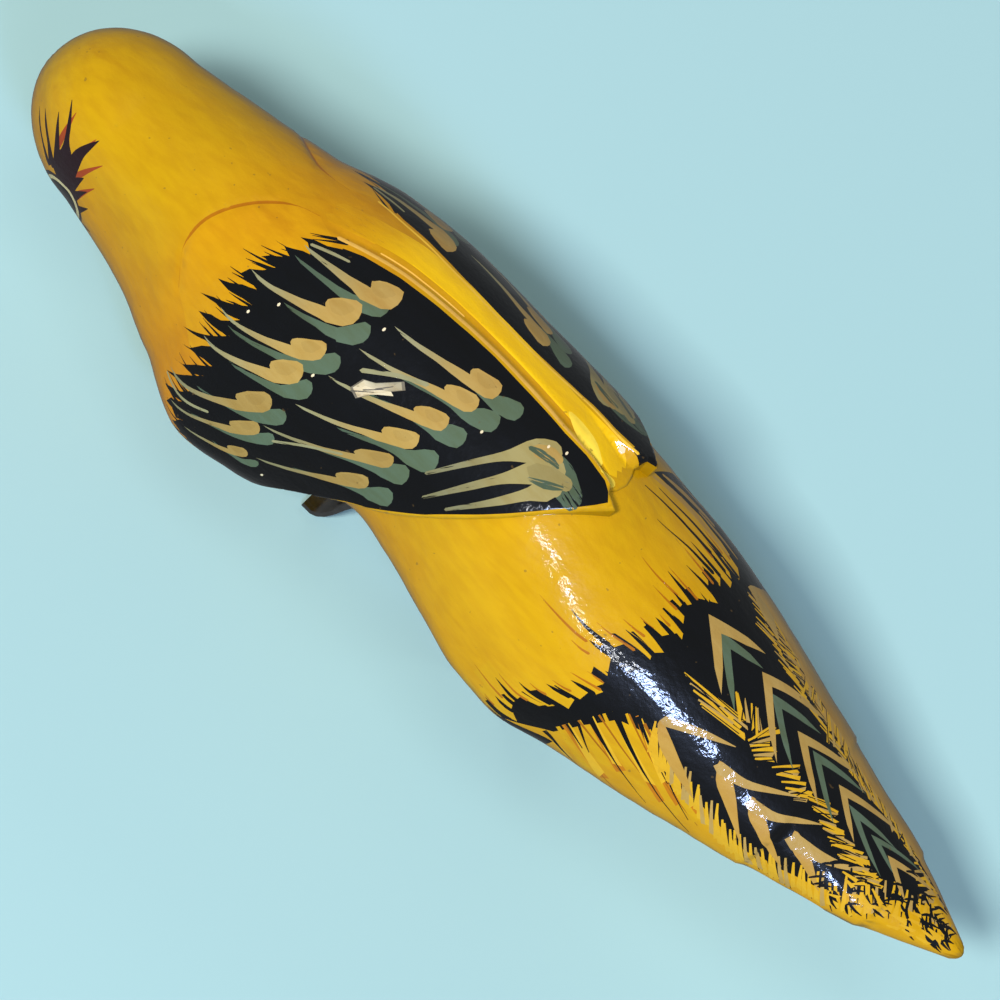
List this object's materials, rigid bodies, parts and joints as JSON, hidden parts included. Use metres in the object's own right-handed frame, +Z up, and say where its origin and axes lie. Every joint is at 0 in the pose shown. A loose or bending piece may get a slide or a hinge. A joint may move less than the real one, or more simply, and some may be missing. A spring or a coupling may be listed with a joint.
{
  "type": "clip-on bird ornament",
  "caption": "Carved and painted wooden songbird with folded wings and a long tapering tail, on a sprung steel clip under its belly that grips a twig.",
  "frame": {"origin": "middle of the object's box, on the surface that it stands on", "axes": "+X towards the bird's head, +Y towards its left wing, +Z up"},
  "size_m": [0.1279, 0.0332, 0.0366],
  "materials": {
    "lacquered_wood": "hand-painted and lacquered, glossy",
    "base_steel": "bright pressed steel",
    "jaw_steel": "bright pressed steel",
    "pin_steel": "bright",
    "spring_steel": "bright drawn wire"
  },
  "bodies": {
    "bird": {"carved_bird": "lacquered_wood", "clip_base": "base_steel", "clip_pin": "pin_steel", "clip_spring": "spring_steel"},
    "jaw": {"clip_jaw": "jaw_steel"}
  },
  "joints": [
    {"name": "clip_hinge", "type": "hinge", "parent": "bird", "child": "jaw", "pos_m": [0.0104, 0, 0.00836], "axis": [0, -1, 0], "range_deg": [0, 30], "stiffness_Nm_per_rad": 0.05, "springref_deg": -57.3, "deforming": ["clip_spring"]}
  ]
}
